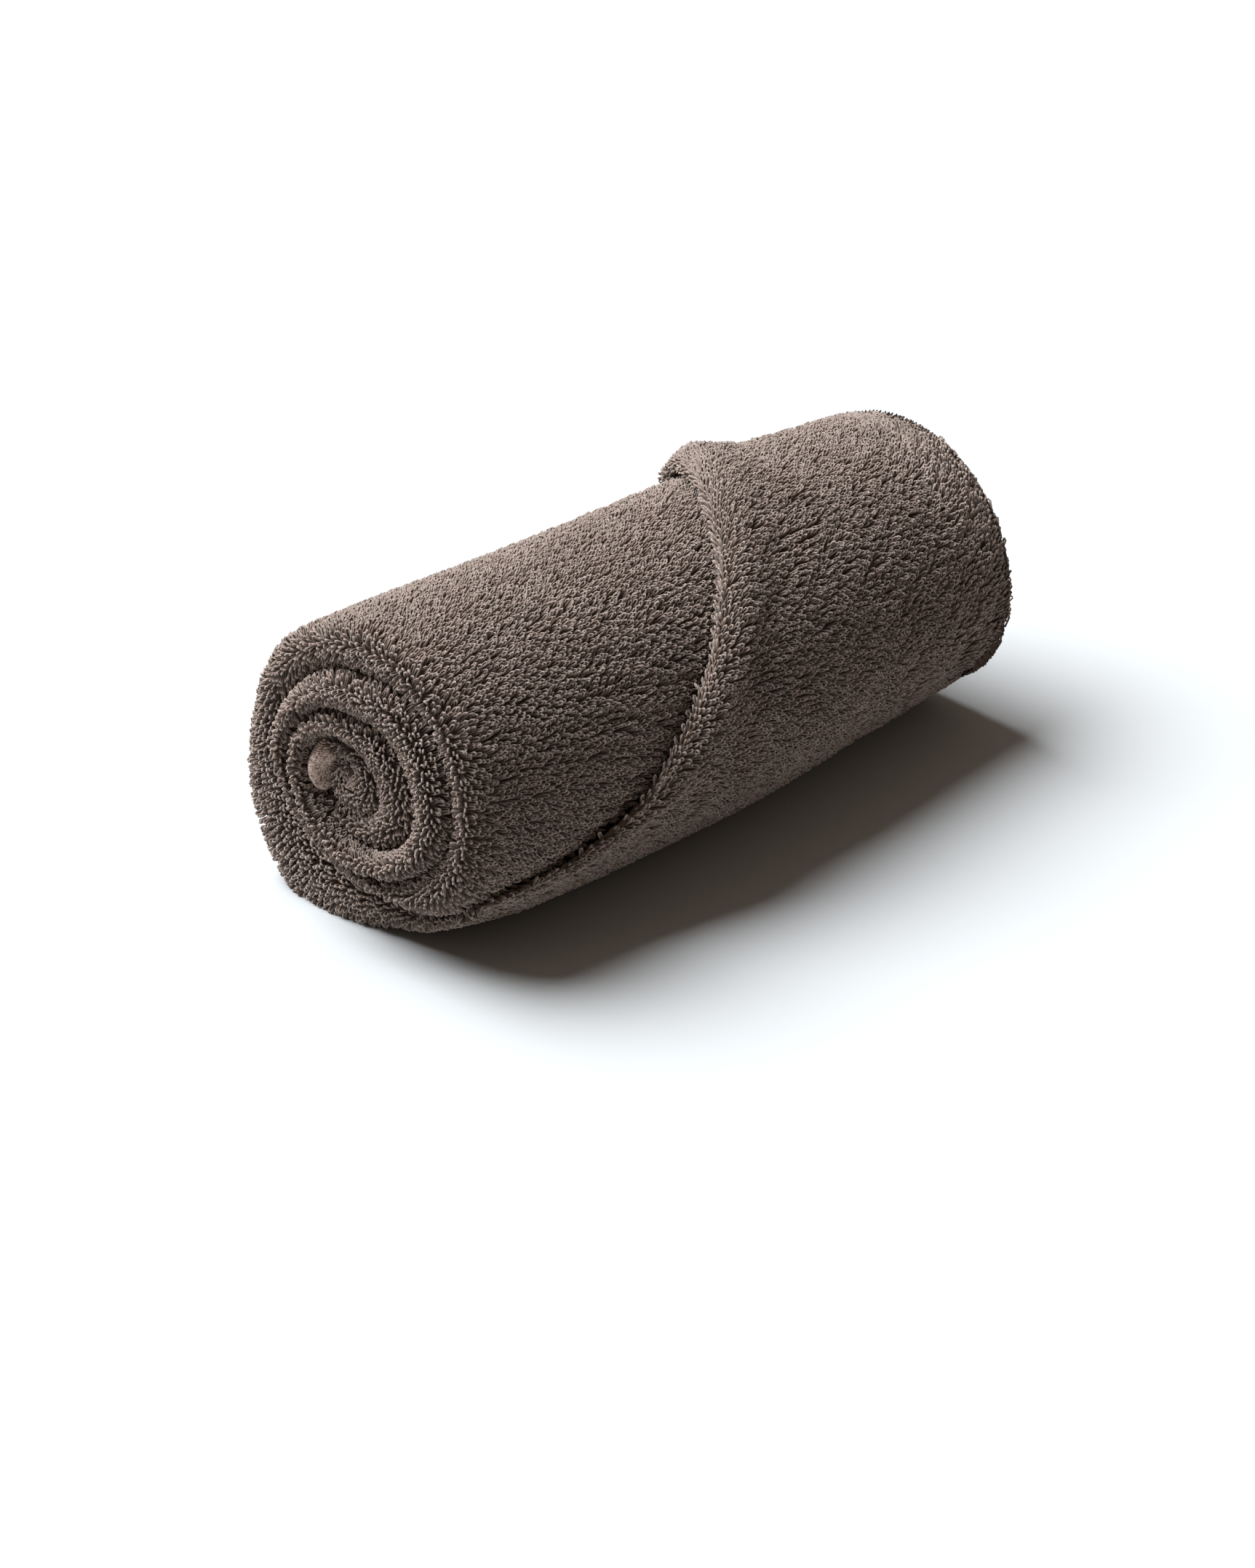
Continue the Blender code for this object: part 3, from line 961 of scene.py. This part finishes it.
class TOWEL_OT_hem_tip(bpy.types.Operator):
    """Makes the end of the flat woven hem, which shows in the middle of the spiral"""

    bl_idname = "towel.hem_tip"
    bl_label = "Hem tip"

    def execute(self, context):
        wound = np.linspace(HEM_START, HEM_END, HEM_COLUMNS)
        bend = np.radians(np.linspace(*HEM_BEND, HEM_ROWS))[None, :]
        crown = np.sqrt(1.0 - np.linspace(-1.0, 1.0, HEM_COLUMNS) ** 2)[:, None]
        places = near_fold(wound, bend)
        places[..., 0] -= HEM_PROUD * (2.0 * crown - 1.0) * np.sin(bend)
        mesh = sheet_mesh("hem_tip", places, HEM_THICKNESS)
        add_piece("hem_tip", mesh, material_once("woven_hem", hem_material))
        return {"FINISHED"}


def pale_floor(colour):
    """Lays out the floor."""
    material, _, shader = new_material("floor")
    set_inputs(shader, {"Base Color": rgb(colour), "Roughness": 0.9})
    plane = bmesh.new()
    bmesh.ops.create_grid(plane, x_segments=1, y_segments=1, size=FLOOR_REACH)
    mesh = bpy.data.meshes.new("floor")
    plane.to_mesh(mesh)
    plane.free()
    floor = add_object("floor", mesh, material)


def key_light(strength):
    """Adds a wide, even light, which shines along one direction everywhere."""
    data = bpy.data.lights.new("key", "SUN")
    data.angle = KEY_WIDTH
    data.energy = strength
    data.color = KEY_COLOUR
    light = bpy.data.objects.new("key", data)
    light.rotation_euler = Vector(KEY_DIRECTION).to_track_quat("-Z", "Y").to_euler()
    bpy.context.scene.collection.objects.link(light)


def soft_sky(strength):
    """Adds a dim warm light from all round, which the camera sees as a white backdrop."""
    world = bpy.data.worlds.new("soft_sky")
    world.use_nodes = True
    tree = world.node_tree
    light = tree.nodes["Background"]
    set_inputs(light, {"Color": SKY_COLOUR, "Strength": strength})
    backdrop = add_node(tree, "ShaderNodeBackground")
    set_inputs(backdrop, {"Color": WHITE})
    seen = add_node(tree, "ShaderNodeLightPath").outputs["Is Camera Ray"]
    mix = add_node(tree, "ShaderNodeMixShader")
    shown = (seen, light.outputs["Background"], backdrop.outputs["Background"])
    for socket, value in zip(mix.inputs, shown):
        feed(tree, socket, value)
    set_inputs(tree.nodes["World Output"], {"Surface": mix.outputs["Shader"]})
    bpy.context.scene.world = world


def long_lens(azimuth, elevation, distance):
    """Adds the camera, which looks just above and beside the roll's foot."""
    foot = Vector((BOX_CENTRE_X, BOX_CENTRE_Y, -AIM_BELOW_FLOOR))
    level = math.cos(elevation)
    ahead = Vector((level * math.sin(azimuth), level * math.cos(azimuth), -math.sin(elevation)))
    right = Vector((math.cos(azimuth), -math.sin(azimuth), 0.0))
    data = bpy.data.cameras.new("camera")
    data.sensor_fit = "VERTICAL"
    data.sensor_height = SENSOR_HEIGHT
    data.lens = LENS
    data.clip_start = NEAREST_SEEN
    camera = bpy.data.objects.new("camera", data)
    camera.location = foot - ahead * distance
    aim = foot + right.cross(ahead) * AIM_UP - right * AIM_LEFT
    camera.rotation_euler = (aim - camera.location).to_track_quat("-Z", "Y").to_euler()
    bpy.context.scene.collection.objects.link(camera)
    bpy.context.scene.camera = camera


class TOWEL_OT_stage(bpy.types.Operator):
    """Sets out the pale floor, the soft light and the camera"""

    bl_idname = "towel.stage"
    bl_label = "Stage"

    def execute(self, context):
        stage = context.scene.towel_stage
        pale_floor(stage.floor_colour)
        soft_sky(stage.sky_strength)
        key_light(stage.key_strength)
        context.scene.view_settings.view_transform = "Standard"
        long_lens(stage.azimuth, stage.elevation, stage.distance)
        return {"FINISHED"}


class TOWEL_PT_panel(bpy.types.Panel):
    """Lists the towel's settings and the steps that build it"""

    bl_label = "Rolled face towel"
    bl_idname = "TOWEL_PT_panel"
    bl_space_type = "VIEW_3D"
    bl_region_type = "UI"
    bl_category = "Towel"

    def draw(self, context):
        layout = self.layout
        for settings in (context.scene.towel_cloth, context.scene.towel_colours, context.scene.towel_stage):
            box = layout.box()
            for name in settings.__annotations__:
                box.prop(settings, name)
        for operator in OPERATORS:
            layout.operator(operator.bl_idname)


OPERATORS = (
    TOWEL_OT_wound_cloth,
    TOWEL_OT_side_pile,
    TOWEL_OT_near_pile,
    TOWEL_OT_far_pile,
    TOWEL_OT_hem_tip,
    TOWEL_OT_stage,
)
CLASSES = (TOWEL_PG_cloth, TOWEL_PG_colours, TOWEL_PG_stage, *OPERATORS, TOWEL_PT_panel)


def register():
    for kind in CLASSES:
        bpy.utils.register_class(kind)
    bpy.types.Scene.towel_cloth = bpy.props.PointerProperty(type=TOWEL_PG_cloth)
    bpy.types.Scene.towel_colours = bpy.props.PointerProperty(type=TOWEL_PG_colours)
    bpy.types.Scene.towel_stage = bpy.props.PointerProperty(type=TOWEL_PG_stage)


def unregister():
    del bpy.types.Scene.towel_stage
    del bpy.types.Scene.towel_colours
    del bpy.types.Scene.towel_cloth
    for kind in reversed(CLASSES):
        bpy.utils.unregister_class(kind)


def main():
    register()
    bpy.ops.towel.wound_cloth()
    bpy.ops.towel.side_pile()
    bpy.ops.towel.near_pile()
    bpy.ops.towel.far_pile()
    bpy.ops.towel.hem_tip()
    bpy.ops.towel.stage()


if __name__ == "__main__":
    main()
